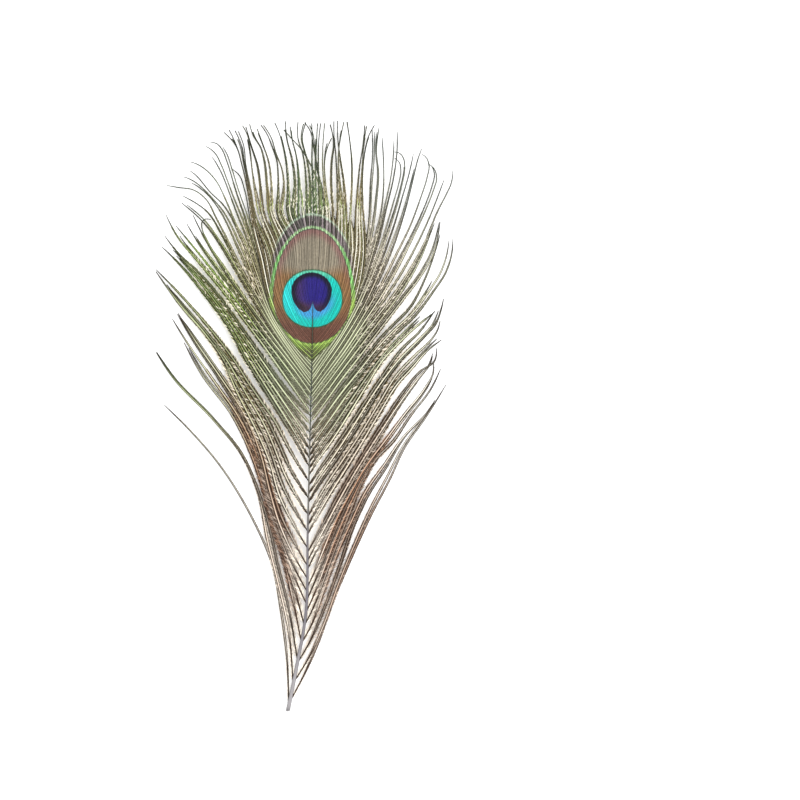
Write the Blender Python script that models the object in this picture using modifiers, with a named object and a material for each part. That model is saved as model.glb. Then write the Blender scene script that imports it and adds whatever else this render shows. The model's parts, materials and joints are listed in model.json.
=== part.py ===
"""A peacock tail feather that lies face up: a shaft, the loose barbs on its two sides and the barbs of its eye.

+Y runs along the feather from the cut end of the shaft to the crest, +X is to the right of the eye as it is
looked at from above, and +Z is up from the surface that it lies on. Lengths in the tables are millimetres.
The barbs are fibres, so each side is one thin plate: a loft through guide barbs, cut into locks at the tips.
"""

import bpy
import numpy as np

MM = 0.001

# Driving dimensions, in millimetres.
PLATE_THICKNESS = 1.0
GAP = 0.3
TIP_HEIGHT = 0.5 * PLATE_THICKNESS
LOCK_COLUMNS = 6

# The shaft's centre line from the cut end to the notch of the eye: x, y, height and radius.
SHAFT_LINE = np.array([
    (-8.1, -140.0, 0.95, 0.95),
    (-4.1, -120.0, 1.60, 0.85),
    (0.2, -96.0, 2.70, 0.72),
    (1.4, -55.0, 4.70, 0.56),
    (2.4, -14.0, 6.30, 0.45),
    (3.4, 24.0, 7.10, 0.32),
    (3.9, 54.0, 7.00, 0.22),
])
SHAFT_POINTS = 40
SHAFT_RINGS = 2

# Guide barbs, from the cut end up: the y of the root on the shaft, then x, y along the barb to its tip.
LEFT_GUIDES = [
    (-134.0, [(-10.6, -109.0), (-15.3, -80.0), (-25.4, -51.0), (-44.0, -19.5), (-66.9, 5.0)]),
    (-122.0, [(-8.6, -98.0), (-14.6, -66.0), (-24.6, -32.0), (-43.6, -1.0), (-70.0, 30.1)]),
    (-98.0, [(-6.4, -75.0), (-14.0, -46.0), (-26.0, -14.0), (-42.0, 14.0), (-66.0, 47.0)]),
    (-47.0, [(-5.0, -28.0), (-14.2, -4.5), (-27.0, 17.5), (-46.0, 42.0), (-70.7, 69.0)]),
    (-18.7, [(-5.0, -3.5), (-14.6, 15.0), (-27.0, 34.5), (-46.5, 60.0), (-68.0, 82.0)]),
    (-2.0, [(-5.4, 12.0), (-15.0, 29.0), (-27.5, 49.0), (-45.0, 72.5), (-65.4, 95.3)]),
    (9.7, [(-5.0, 21.0), (-14.5, 37.5), (-25.5, 59.0), (-40.0, 84.5), (-62.0, 108.0)]),
    (17.8, [(-4.5, 27.0), (-14.7, 44.0), (-23.5, 70.0), (-33.0, 99.0), (-50.0, 125.0)]),
]
EYE_EDGE_LEFT = (26.0, [(-4.4, 33.5), (-15.0, 48.5), (-21.3, 75.0), (-27.0, 104.0), (-37.0, 132.5)])
EYE_EDGE_RIGHT = (26.0, [(11.0, 33.5), (22.6, 48.5), (28.6, 75.0), (32.0, 104.0), (38.0, 134.5)])
RIGHT_GUIDES = [
    (-134.0, [(1.4, -114.0), (12.0, -87.0), (26.5, -57.0), (47.5, -18.0), (66.7, 14.5)]),
    (-104.0, [(9.0, -80.0), (20.5, -52.0), (34.0, -22.0), (50.0, 6.0), (67.0, 35.0)]),
    (-70.0, [(9.5, -49.0), (20.0, -24.0), (33.0, 2.0), (49.0, 29.0), (66.0, 55.7)]),
    (-40.0, [(10.0, -22.0), (20.5, -1.0), (33.5, 22.0), (50.0, 48.0), (69.7, 77.0)]),
    (-20.0, [(10.0, -5.0), (20.5, 14.0), (33.5, 37.0), (50.0, 65.0), (70.0, 96.0)]),
    (-5.0, [(10.0, 8.0), (20.5, 25.5), (33.0, 48.0), (49.0, 80.0), (70.0, 116.2)]),
    (8.0, [(10.4, 19.0), (21.0, 36.0), (32.0, 61.0), (44.0, 92.0), (60.0, 121.5)]),
    (17.8, [(10.8, 27.0), (22.4, 43.0), (30.5, 70.0), (37.5, 99.0), (47.5, 128.0)]),
]
EYE_CLEARANCE = 0.8
# Straight up from the shaft's end to the middle of the crest.
EYE_MIDDLE = [(3.9, 54.9), (3.9, 70.0), (4.0, 88.0), (4.4, 105.0), (5.0, 122.0), (6.0, 139.6)]

LEFT_LOCKS = 9
RIGHT_LOCKS = 9
CREST_LOCKS = 12
LOOSE_ROWS = 10
EYE_ROWS = 9
LOOSE_NOTCH = 0.09
CREST_NOTCH = 0.07
LOOSE_SAG = 1.5
EYE_SAG = 2.2


def smooth_curve(points, places):
    """Reads a Catmull-Rom curve through the points at places from 0, the first point, to 1, the last one."""
    points = np.asarray(points, float)
    ends = [2 * points[0] - points[1], *points, 2 * points[-1] - points[-2]]
    span = np.clip(np.asarray(places, float) * (len(points) - 1), 0, len(points) - 1 - 1e-9)
    first = span.astype(int)
    t = (span - first).reshape(-1, *[1] * (points.ndim - 1))
    a, b, c, d = (np.asarray(ends)[first + k] for k in range(4))
    return 0.5 * (2 * b + (c - a) * t + (2 * a - 5 * b + 4 * c - d) * t**2 + (3 * (b - c) + d - a) * t**3)


def shaft_at(y):
    """The shaft's x, height and radius at this y."""
    fine = smooth_curve(SHAFT_LINE, np.linspace(0, 1, 200))
    return [np.interp(y, fine[:, 1], fine[:, k]) for k in (0, 2, 3)]


def guide_barb(guide, side):
    """A guide's x, y and height at its root and along it. side is -1 on the left of the shaft and 1 on the right."""
    root_y, rest = guide
    x, height, radius = shaft_at(root_y)
    root = (x + side * (radius + GAP), root_y)
    return np.array([root, *rest]), height


def beside_eye(edge, side):
    """The last guide of a side's loose barbs, which runs beside this edge of the eye."""
    root_y, rest = edge
    return root_y - EYE_CLEARANCE, [(x + side * EYE_CLEARANCE, y) for x, y in rest]


def along(guide_points, places, height, sag):
    """Points on a barb at these places: it leaves the shaft at this height and droops to the surface at its tip."""
    flat = smooth_curve(guide_points, places)
    z = TIP_HEIGHT + (height - TIP_HEIGHT) * (1 - np.asarray(places) ** sag)
    return np.column_stack([flat, z])


def lock_ends(columns, locks, notch):
    """How far along its barb each column ends: 1 at the middle of a lock, less in the notch between two."""
    saw = np.abs((np.linspace(0, locks, columns) % 1.0) - 0.5) * 2
    return 1 - notch * saw


def barb_sheet(guides, heights, locks, notch, rows, sag):
    """A grid of points, column by column across the guides and row by row from the shaft to the tips."""
    columns = locks * LOCK_COLUMNS + 1
    across = smooth_curve(np.array(guides), np.linspace(0, 1, columns))
    height = np.interp(np.linspace(0, 1, columns), np.linspace(0, 1, len(heights)), heights)
    ends = lock_ends(columns, locks, notch)
    places = np.linspace(0, 1, rows)
    return np.array([along(across[c], places * ends[c], height[c], sag) for c in range(columns)])


def clear_of_shaft(sheet):
    """Moves the sheet's points sideways where they come closer to the shaft than the gap."""
    x, _, radius = shaft_at(sheet[..., 1])
    offset = sheet[..., 0] - x
    beside = sheet[..., 1] < SHAFT_LINE[-1, 1] + GAP
    near = beside & (np.abs(offset) < radius + GAP)
    side = np.sign(np.linspace(-1, 1, len(sheet)))[:, None] * np.ones(sheet.shape[1])
    sheet[..., 0] = np.where(near, x + side * (radius + GAP), sheet[..., 0])
    return sheet


def plain_material(name, colour, roughness, metallic=0.0):
    material = bpy.data.materials.new(name)
    material.use_nodes = True
    shader = material.node_tree.nodes["Principled BSDF"]
    shader.inputs["Base Color"].default_value = (*colour, 1.0)
    shader.inputs["Roughness"].default_value = roughness
    shader.inputs["Metallic"].default_value = metallic
    return material


def take_into(collection, piece):
    for old in list(piece.users_collection):
        old.objects.unlink(piece)
    collection.objects.link(piece)


def make_plate(name, sheet, collection, material):
    """A grid primitive shaped to the sheet's points, given its thickness by Solidify."""
    columns, rows = sheet.shape[:2]
    bpy.ops.mesh.primitive_grid_add(x_subdivisions=columns - 1, y_subdivisions=rows - 1, size=1.0)
    plate = bpy.context.object
    plate.name = plate.data.name = name
    for vertex in plate.data.vertices:
        column = round((vertex.co.x + 0.5) * (columns - 1))
        row = round((vertex.co.y + 0.5) * (rows - 1))
        vertex.co = sheet[column, row] * MM
    plate.data.shade_smooth()
    shell = plate.modifiers.new("thickness", "SOLIDIFY")
    shell.thickness = PLATE_THICKNESS * MM
    shell.offset = 0.0
    plate.data.materials.append(material)
    take_into(collection, plate)
    return plate


def make_shaft(collection, material):
    """A tapering tube along the shaft's line, cut off flat at both ends."""
    points = smooth_curve(SHAFT_LINE, np.linspace(0, 1, SHAFT_POINTS))
    data = bpy.data.curves.new("shaft", "CURVE")
    data.dimensions = "3D"
    data.bevel_depth = MM
    data.bevel_resolution = SHAFT_RINGS
    data.use_fill_caps = True
    spline = data.splines.new("POLY")
    spline.points.add(SHAFT_POINTS - 1)
    for point, (x, y, z, radius) in zip(spline.points, points):
        point.co = (x * MM, y * MM, z * MM, 1.0)
        point.radius = radius
    data.materials.append(material)
    shaft = bpy.data.objects.new("shaft", data)
    collection.objects.link(shaft)
    return shaft


def make_loose_barbs(name, guides, eye_edge, side, locks, collection, material):
    """The barbs of one side, from the cut end to the edge of the eye."""
    read = [guide_barb(guide, side) for guide in (*guides, beside_eye(eye_edge, side))]
    points, heights = [p for p, _ in read], [h for _, h in read]
    sheet = barb_sheet(points, heights, locks, LOOSE_NOTCH, LOOSE_ROWS, LOOSE_SAG)
    return make_plate(name, sheet if side > 0 else sheet[::-1], collection, material)


def make_eye_barbs(collection, material):
    """The barbs of both sides that leave the last stretch of the shaft, with the crest at their tips."""
    middle = np.array(EYE_MIDDLE)
    guides, heights = [], []
    for edge, side, shares in ((EYE_EDGE_LEFT, -1, (0.0, 0.5, 1.0)), (EYE_EDGE_RIGHT, 1, (0.5, 0.0))):
        outer, low = guide_barb(edge, side)
        for share in shares:
            guide = outer * (1 - share) + middle * share
            x, _, radius = shaft_at(guide[0, 1])
            if share < 1.0:
                guide[0, 0] = x + side * (radius + GAP)
            guides.append(guide)
            heights.append(low * (1 - share) + SHAFT_LINE[-1, 2] * share)
    sheet = barb_sheet(guides, heights, CREST_LOCKS, CREST_NOTCH, EYE_ROWS, EYE_SAG)
    return make_plate("eye_barbs", clear_of_shaft(sheet), collection, material)


def main():
    for old in list(bpy.data.objects):
        bpy.data.objects.remove(old)
    feather = bpy.data.collections.new("peacock_feather")
    bpy.context.scene.collection.children.link(feather)
    quill = plain_material("quill", (0.52, 0.48, 0.47), 0.45)
    loose = plain_material("loose_barb", (0.26, 0.22, 0.13), 0.6)
    eye = plain_material("eye_barb", (0.05, 0.22, 0.20), 0.4, 0.3)
    make_shaft(feather, quill)
    make_loose_barbs("left_barbs", LEFT_GUIDES, EYE_EDGE_LEFT, -1, LEFT_LOCKS, feather, loose)
    make_loose_barbs("right_barbs", RIGHT_GUIDES, EYE_EDGE_RIGHT, 1, RIGHT_LOCKS, feather, loose)
    make_eye_barbs(feather, eye)


main()
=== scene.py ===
"""A peacock tail feather lying face up: its quill, the loose barbs on both sides and the eye.

Every barb is a shaft of its own, with its barbules.

+Y runs from the quill's cut end to the crest, +X is right of the eye seen from above, and +Z is up.
The tables and the sizes below are in millimetres.
"""

import json

import bmesh
import bpy
import numpy as np
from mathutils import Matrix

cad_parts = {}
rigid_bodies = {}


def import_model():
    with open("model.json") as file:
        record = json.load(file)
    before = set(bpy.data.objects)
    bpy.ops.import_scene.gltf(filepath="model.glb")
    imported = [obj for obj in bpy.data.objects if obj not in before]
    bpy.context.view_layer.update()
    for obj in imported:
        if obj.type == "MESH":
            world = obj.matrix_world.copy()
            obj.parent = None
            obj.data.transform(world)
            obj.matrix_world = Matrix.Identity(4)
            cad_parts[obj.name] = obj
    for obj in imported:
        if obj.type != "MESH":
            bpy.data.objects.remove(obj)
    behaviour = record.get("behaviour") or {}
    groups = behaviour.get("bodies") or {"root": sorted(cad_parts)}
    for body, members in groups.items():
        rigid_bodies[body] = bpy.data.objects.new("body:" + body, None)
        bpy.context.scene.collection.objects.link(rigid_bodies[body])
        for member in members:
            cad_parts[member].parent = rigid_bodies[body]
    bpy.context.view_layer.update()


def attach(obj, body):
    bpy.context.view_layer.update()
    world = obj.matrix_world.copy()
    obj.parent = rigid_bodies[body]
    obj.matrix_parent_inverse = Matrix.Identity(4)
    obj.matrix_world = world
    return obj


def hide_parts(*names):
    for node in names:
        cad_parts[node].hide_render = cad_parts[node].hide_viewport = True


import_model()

bl_info = {
    "name": "Peacock Feather",
    "version": (1, 0, 0),
    "blender": (4, 5, 0),
    "location": "View3D > Sidebar > Feather",
    "description": "Builds a peacock tail feather barb by barb on its packed frame",
    "category": "Object",
}

MM = 0.001
BODY = "root"
BARB_SEED = 28
LOOSE_SEEDS = {"left": 5, "right": 6}
CREST_SEED = 7

# Linear colours that are mixed in for one place only.
SLATE = (0.17, 0.158, 0.18)  # The quill between its pale end and the upper barbs.
DUN = (0.36, 0.32, 0.25)  # Barbules right of the eye.
HAY = (0.34, 0.31, 0.22)  # Between the lines of the V, low down.
SEDGE = (0.28, 0.33, 0.18)  # Between the lines of the V, near the eye.
STRAW_HIGHLIGHT = (0.54, 0.54, 0.33)  # Painted highlight on the shafts of the middle barbs.
WILLOW_HIGHLIGHT = (0.66, 0.72, 0.46)  # Painted highlight on the shafts of the barbs in the V.
SOOT = (0.06, 0.07, 0.055)  # Tips of the upper loose barbs.
CREST_SOOT = (0.06, 0.07, 0.05)  # Tips of the crest.
FROST = (0.68, 0.84, 0.66)  # Thin pale arc over the crescent.
GRASS = (0.22, 0.6, 0.18)  # Upper sides of the thin green ring.
SHADE = (0.03, 0.05, 0.02)  # Dark line inside the thin green ring.
BOTTLE = (0.02, 0.13, 0.05)  # Dark edge of the blue-green ring.
CYAN = (0.03, 0.82, 0.82)  # Left side of the blue-green ring.
JADE = (0.2, 0.72, 0.42)  # Top of the blue-green ring.
FLOOR = (0.93, 0.93, 0.93)

# The rings of the eye: a centre, then the half width and the reaches above and below the centre.
EYE_CENTRE = (3.6, 56.0)
ARC = (21.5, 38.6, 30.0)
RIM = (18.4, 32.2, 21.9)
RING_CENTRE = (3.7, 55.1)
RING = (13.9, 13.5, 13.3)
RING_POWER = 2.12  # 2 gives an ellipse, and more gives squarer shoulders.
HEART_CENTRE = (3.3, 59.0)
HEART = (9.6, 8.6, 11.1)
NOTCH = (3.8, 53.4)  # The top of the notch between the heart's lobes.

# The quill's centre line from the cut end to the notch of the eye: x, y, height and radius.
QUILL_LINE = np.array([
    (-8.1, -140.0, 0.95, 0.95),
    (-4.1, -120.0, 1.60, 0.85),
    (0.2, -96.0, 2.70, 0.70),
    (1.4, -55.0, 4.70, 0.50),
    (2.4, -14.0, 6.30, 0.32),
    (3.4, 24.0, 7.10, 0.26),
    (3.9, 54.0, 7.00, 0.18),
])
TIP_HEIGHT = 0.6
LEAST_HEIGHT = 0.35
BARB_ROWS = 72
CLUMP = 0.42  # Length along a barb over which barbules stick together.

# Locks of barbs, from the cut end up. Each has its number of barbs, how rusty, how mossy and how bare its
# tips are, and guide barbs across it: the y of the root on the quill, then x, y along the barb to its tip.
LEFT_LOCKS = [
    (1, 0.15, 0.1, 0.9, [
        (-137, [(-8.5, -115), (-11.3, -93), (-15.8, -70), (-24.3, -50), (-42.8, -20), (-54, -7.4),
            (-66.9, 5)])]),
    (2, 0.35, 0.5, 0.8, [
        (-127, [(-8, -100), (-12.5, -80), (-17.5, -60), (-22.5, -36), (-30, -19), (-43.6, -2),
            (-62.6, 18.3), (-70.4, 30.1)]),
        (-116, [(-8, -90), (-13, -70), (-17.5, -50), (-22, -36), (-29.6, -18.7), (-43.2, -1.7),
            (-62.3, 18.4), (-70.2, 30.2)])]),
    (2, 0.9, 0.1, 0.7, [
        (-107, [(-5.5, -88), (-9.5, -70), (-14.5, -54), (-20, -34), (-24.8, -20), (-34, -1),
            (-49.5, 20), (-57.5, 34.5)]),
        (-99, [(-5.5, -80), (-11, -63), (-16.5, -46), (-19.6, -32), (-24, -19), (-33.2, 0.2),
            (-48.4, 20.6), (-55, 32)])]),
    (4, 0.8, 0.1, 0.6, [
        (-89, [(-5, -76), (-10, -62), (-15.5, -46), (-19, -31), (-22.5, -20), (-32, 0), (-42, 15),
            (-55, 34), (-62.5, 46)]),
        (-80, [(-6, -68), (-12, -54), (-16.8, -38), (-21, -20), (-29.8, 1.5), (-40, 17.5), (-52, 35),
            (-61, 50)]),
        (-71, [(-5, -60), (-11, -48), (-16, -32), (-20, -17), (-28, 2), (-38, 17), (-46.5, 29),
            (-59, 46.3)])]),
    (5, 0.15, 0.35, 0.2, [
        (-62.5, [(-5, -52), (-12, -38), (-17, -21), (-22.5, -8), (-27.5, 2), (-33, 13), (-38.5, 26),
            (-47, 38.5), (-57, 50), (-70.6, 68.4)]),
        (-38, [(-7, -24), (-12.5, -12), (-19, 1), (-25.5, 11), (-33, 22.5), (-45, 37.5), (-55, 49.5),
            (-66, 62.5)]),
        (-31, [(-8, -14.5), (-14, -3), (-21.5, 8), (-27, 16), (-33, 25.5), (-42, 37.5), (-52, 49.5),
            (-62, 60.5), (-70.7, 69.3)])]),
    (7, 0.1, 0.65, 0.1, [
        (-24, [(-6, -9), (-12, 1), (-20, 14), (-27.5, 26), (-36, 42), (-50, 60.5), (-62, 74.3),
            (-68, 80)]),
        (-10, [(-9, 6.5), (-20, 22.5), (-31, 39), (-42, 54.5), (-54, 69), (-64, 79.5)]),
        (0, [(-10, 14), (-20, 28), (-29, 40.5), (-40, 55.5), (-51, 67.8), (-60, 76), (-67, 85)])]),
    (3, 0.1, 0.85, 0.1, [
        (1.5, [(-8, 17), (-19, 32.5), (-29, 45.5), (-40, 60), (-52, 74.5), (-60, 84.5), (-65.5, 95.3)]),
        (7, [(-8, 22), (-23, 41.5), (-33, 55), (-42, 66.3), (-52, 79), (-61, 90)])]),
    (3, 0.2, 0.6, 0.2, [
        (9, [(-8, 24.5), (-19, 38.5), (-29, 52), (-40, 67), (-50, 81), (-56, 91)]),
        (12, [(-8, 27), (-20, 43), (-32, 59.5), (-41, 73), (-48, 85), (-53, 95)])]),
    (1, 0.2, 0.5, 0.3, [
        (13.5, [(-8, 28), (-20, 44.5), (-32, 61), (-38, 70), (-46, 82), (-48.8, 88.5), (-49, 91.5),
            (-47.5, 93.2), (-44.5, 93)])]),
    (3, 0.25, 0.5, 0.3, [
        (14.5, [(-7, 28.5), (-15, 40), (-23, 52.5), (-32, 67.5), (-40, 80.5), (-47.5, 91),
            (-58.5, 101)]),
        (16, [(-7, 30), (-15, 42), (-23, 55.5), (-31, 70), (-39, 85), (-46, 96), (-58, 104)])]),
    (8, 0.3, 0.35, 0.5, [
        (17, [(-6.5, 30), (-15, 43), (-22.5, 57), (-30, 70), (-35, 80), (-42, 93), (-48, 103),
            (-53, 106.5), (-60, 107.8), (-65.5, 109)]),
        (18.5, [(-6.3, 31), (-15, 44.3), (-22.5, 60), (-31, 80), (-40, 98), (-48, 107), (-53, 110.5),
            (-59, 112.3), (-63.5, 111.8)]),
        (20, [(-6, 32), (-15, 45.7), (-22.3, 63), (-30.5, 84), (-39.5, 100), (-45, 105), (-54, 115),
            (-59, 117.8), (-62.5, 117.8)]),
        (21.5, [(-6, 33), (-15, 47), (-22, 66), (-28, 82), (-33, 92), (-37, 102), (-42, 112),
            (-50, 119), (-56.5, 121)]),
        (23, [(-6, 34), (-15, 48), (-21.5, 68), (-28, 88), (-34, 103), (-37, 111), (-40, 118.5),
            (-43, 124), (-46, 126.5), (-49, 128)]),
        (24.5, [(-6, 35), (-15.3, 49), (-21.3, 70), (-27, 90), (-33, 107), (-37.5, 121),
            (-39.5, 126), (-42, 128.8), (-45, 129.5)])]),
    (2, 0.2, 0.3, 0.8, [
        (25, [(-6, 35.6), (-15.3, 50), (-21.3, 72), (-26.5, 92), (-32, 108), (-35, 118), (-37, 124),
            (-39, 127.5)]),
        (25.6, [(-6, 36), (-15.3, 50.6), (-21.3, 73), (-26, 93), (-28.5, 107), (-31, 114),
            (-35, 117.5)])]),
]
RIGHT_LOCKS = [
    (4, 0.7, 0.1, 0.6, [
        (-135, [(0, -122), (6, -108), (12, -91), (21, -69.5), (31, -48), (41, -29), (47, -16),
            (57.5, -0.5), (66.8, 14.7)]),
        (-126, [(2, -114.5), (9, -99), (16, -79.5), (24, -60), (31, -44.5), (39.4, -28.5),
            (46.5, -15), (57, -0.3), (65.6, 13)]),
        (-117, [(2, -108), (9, -92), (16, -73), (23.5, -51.5), (30.5, -37), (38.5, -24.6), (48, -9),
            (57.3, 0.4), (64, 10)]),
        (-107.5, [(3, -99.5), (9, -82.5), (15, -66), (22, -50), (29, -35.5), (37.5, -23.5),
            (47, -10), (58, 1.2), (61.5, 6)])]),
    (4, 0.8, 0.1, 0.5, [
        (-99, [(4, -91), (10, -75), (14, -64), (18, -54), (22, -44), (26.5, -33), (33, -21.5),
            (42, -12), (50, -0.2), (60, 13), (64.3, 22)]),
        (-90, [(4, -83), (11, -65), (16, -52.5), (22, -39), (28.5, -26.5), (36, -15), (45, -3),
            (54, 8), (60, 18), (61.5, 22.5)]),
        (-81, [(5, -73), (12, -56), (17, -45), (22, -36), (29, -24), (38, -12), (48, 1.5), (57, 13),
            (60.8, 20), (61, 26)])]),
    (3, 0.5, 0.15, 0.3, [
        (-72.5, [(5, -65), (10, -55), (15, -45.5), (20, -36), (27, -24), (35, -11), (45, 5),
            (54, 17.5), (58.5, 23.5), (60.5, 29.5)]),
        (-64.5, [(5, -58), (10, -49), (15, -39.5), (20, -31), (27, -19.5), (36, -5), (46, 10.5),
            (55, 21.5), (61.3, 26), (62.3, 32)])]),
    (3, 0.3, 0.3, 0.2, [
        (-56, [(6, -47.5), (12, -37), (18, -27.5), (26, -14.5), (35, 1), (44, 15.5), (50, 22),
            (58, 31), (64.8, 36)]),
        (-47.5, [(5, -41.5), (10, -33), (17, -22.5), (26, -9), (35, 5.5), (44, 19.5), (53, 29),
            (60, 36), (62.8, 40.5), (64, 45)])]),
    (3, 0.2, 0.4, 0.2, [
        (-41, [(6, -34), (12, -25), (20, -13), (30, 3), (38, 16), (45, 25.5), (56, 37), (62, 44),
            (64.5, 51), (65.5, 55.5)]),
        (-33, [(6, -27), (12, -18.5), (20, -6.5), (29, 7.5), (37, 19), (46, 31), (55, 40),
            (61.5, 49.5)])]),
    (5, 0.1, 0.6, 0.1, [
        (-28, [(6, -21.5), (13, -11.5), (22, 2.5), (30, 15), (37, 26), (45, 35), (51, 41), (57, 46),
            (61.5, 49.5)]),
        (-16, [(7, -9), (14, 1), (22, 12.5), (30, 23.5), (38, 33.5), (46, 43.5), (54, 54), (60, 64)])]),
    (3, 0.15, 0.5, 0.2, [
        (-12, [(8, -4.5), (17, 8), (26, 19), (35, 30), (43, 38.5), (52, 47), (61, 59), (66.5, 67.5),
            (69.3, 76), (70, 84)]),
        (-7, [(8, 0), (17, 12.5), (26, 24), (35, 35.5), (41, 42), (50, 51.5), (56.5, 64), (61, 76),
            (64, 86)])]),
    (4, 0.2, 0.5, 0.2, [
        (-3, [(8, 4), (17, 16.5), (26, 28), (36, 41), (46, 54), (55, 66), (60.5, 76), (64, 92)]),
        (4, [(9, 11.5), (19, 25), (28, 37), (38, 50), (46, 61), (54, 75), (60, 90), (65, 101)])]),
    (2, 0.25, 0.4, 0.4, [
        (5.5, [(9, 13), (19, 26.5), (28, 39), (38, 51.5), (47.5, 65), (57, 82), (63, 97), (67, 105),
            (69.2, 110), (70, 116.5)]),
        (7.5, [(9, 15), (19, 28.5), (28, 41.5), (37, 54), (46, 68), (53, 81), (59, 94), (63, 104),
            (66, 112)])]),
    (3, 0.25, 0.35, 0.5, [
        (9, [(9, 17), (19, 30.5), (28, 44), (36, 56), (44, 70), (51.5, 85), (57.5, 98), (61, 107),
            (62.5, 113), (61, 117.3), (58.3, 119.5)]),
        (11, [(9, 19), (19, 33), (28, 47.5), (36, 61), (43.5, 76), (50, 90), (54.5, 103),
            (57.5, 113), (58.4, 118.5), (57, 122.3), (54.8, 123.8)])]),
    (3, 0.25, 0.3, 0.5, [
        (12.5, [(9, 20.5), (19, 35), (27, 48), (35, 64), (41, 78), (45.5, 91), (49, 103), (52, 115),
            (53.5, 121), (55.5, 126.5)]),
        (15, [(8.5, 22.5), (17, 35), (25, 48), (32, 62.5), (38, 78), (42.5, 91), (46, 103),
            (49.5, 115), (51.5, 124)])]),
    (3, 0.25, 0.3, 0.5, [
        (16.5, [(8.5, 24), (17, 36.5), (25, 50.5), (32, 66), (37, 79), (41, 91), (44, 101),
            (46, 109), (47.4, 118), (46.8, 122), (45, 124.4), (42.6, 125)]),
        (18, [(8.5, 25.5), (17, 38), (24.5, 52), (31, 67), (35.5, 79), (39, 91), (42, 101.5),
            (44.4, 110), (45.4, 116), (44.6, 120.2), (42.5, 122)])]),
    (3, 0.2, 0.3, 0.4, [
        (19.5, [(8.5, 27), (17, 39.5), (24, 52.5), (30, 67.5), (34.5, 82), (38, 98), (41.5, 113),
            (43.5, 126), (44, 134.5)]),
        (21, [(8.5, 28.3), (17.5, 41.5), (23.8, 55), (29.3, 70), (33, 84), (36, 96), (37.3, 108),
            (37.3, 120), (36.6, 132)])]),
    (4, 0.2, 0.3, 0.4, [
        (22.5, [(8.5, 29.5), (18, 43), (24, 57), (28.8, 72), (32, 87), (34, 102), (35, 115),
            (34, 125), (35.3, 137)]),
        (25.5, [(9, 32.5), (20, 46.5), (25, 60), (28.3, 75), (30.4, 92), (31.2, 110), (32.3, 124),
            (32, 136)])]),
]

# The barbs of the eye pass through even stations up to its upper rim, and then part into the crest's strands.
# Each lock has its number of barbs, how rusty, how mossy and how bare its tips are, and the strands that it
# closes up into.
EYE_ROOTS = (26.0, 54.0)
EYE_STATIONS = {
    -1: (((-4.4, 33.5), (-15.2, 50.5), (-21.3, 75.0)), ((3.5, 58.5), (3.45, 71.0), (3.4, 88.0))),
    1: (((11.0, 33.5), (22.4, 50.0), (28.6, 75.0)), ((3.95, 58.5), (4.0, 71.0), (4.1, 88.0))),
}
LEFT_CREST = [
    (7, 0.25, 0.3, 0.5, [
        [(-25.6, 97), (-27.3, 108), (-30, 119), (-33, 128), (-38.3, 134.2)],
        [(-25.2, 97), (-27, 108), (-29.6, 119), (-32, 128), (-35.6, 135.6)],
        [(-24.6, 97), (-26.4, 108), (-28.8, 119), (-30.3, 128), (-33.3, 135)],
        [(-24, 98), (-25.9, 108), (-28.2, 119), (-29.3, 128), (-31.8, 134.6)]]),
    (4, 0.2, 0.35, 0.4, [
        [(-22.5, 99), (-24, 110), (-25, 118), (-26, 127), (-27.3, 133), (-29.7, 137.4)],
        [(-19.8, 99), (-21, 109), (-22.4, 118), (-25.7, 128), (-28.3, 136.8)]]),
    (5, 0.15, 0.4, 0.3, [
        [(-17.5, 99), (-18.2, 110), (-19.2, 120), (-21, 127), (-24.4, 132.5), (-26.2, 138.2)],
        [(-15.3, 99), (-15.8, 110), (-17, 120), (-19.5, 127.5), (-22.7, 136)]]),
    (4, 0.1, 0.5, 0.4, [
        [(-13.2, 99), (-12.6, 113), (-13.4, 121.5), (-15.7, 128), (-17.7, 132.8), (-21, 137.8)],
        [(-10.8, 99), (-9.9, 107), (-11, 117), (-13.7, 124), (-15.7, 131.5), (-19.4, 137.8)]]),
    (4, 0.05, 0.8, 0.3, [
        [(-8.3, 99), (-8, 110), (-9.6, 124), (-12.5, 134.5), (-14.4, 138.8)],
        [(-5, 98), (-4.6, 112), (-6, 122), (-8, 130), (-9, 139.6)]]),
    (5, 0.0, 1.0, 0.2, [
        [(-3, 98), (-3.2, 112), (-4.5, 124), (-6, 130), (-7, 137)],
        [(0.8, 99), (0.5, 112), (-1, 124), (-3.2, 131), (-3.2, 139.2)],
        [(2.9, 98), (2.7, 110), (1.2, 121), (-1.2, 132), (0.4, 139)]]),
]
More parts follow.
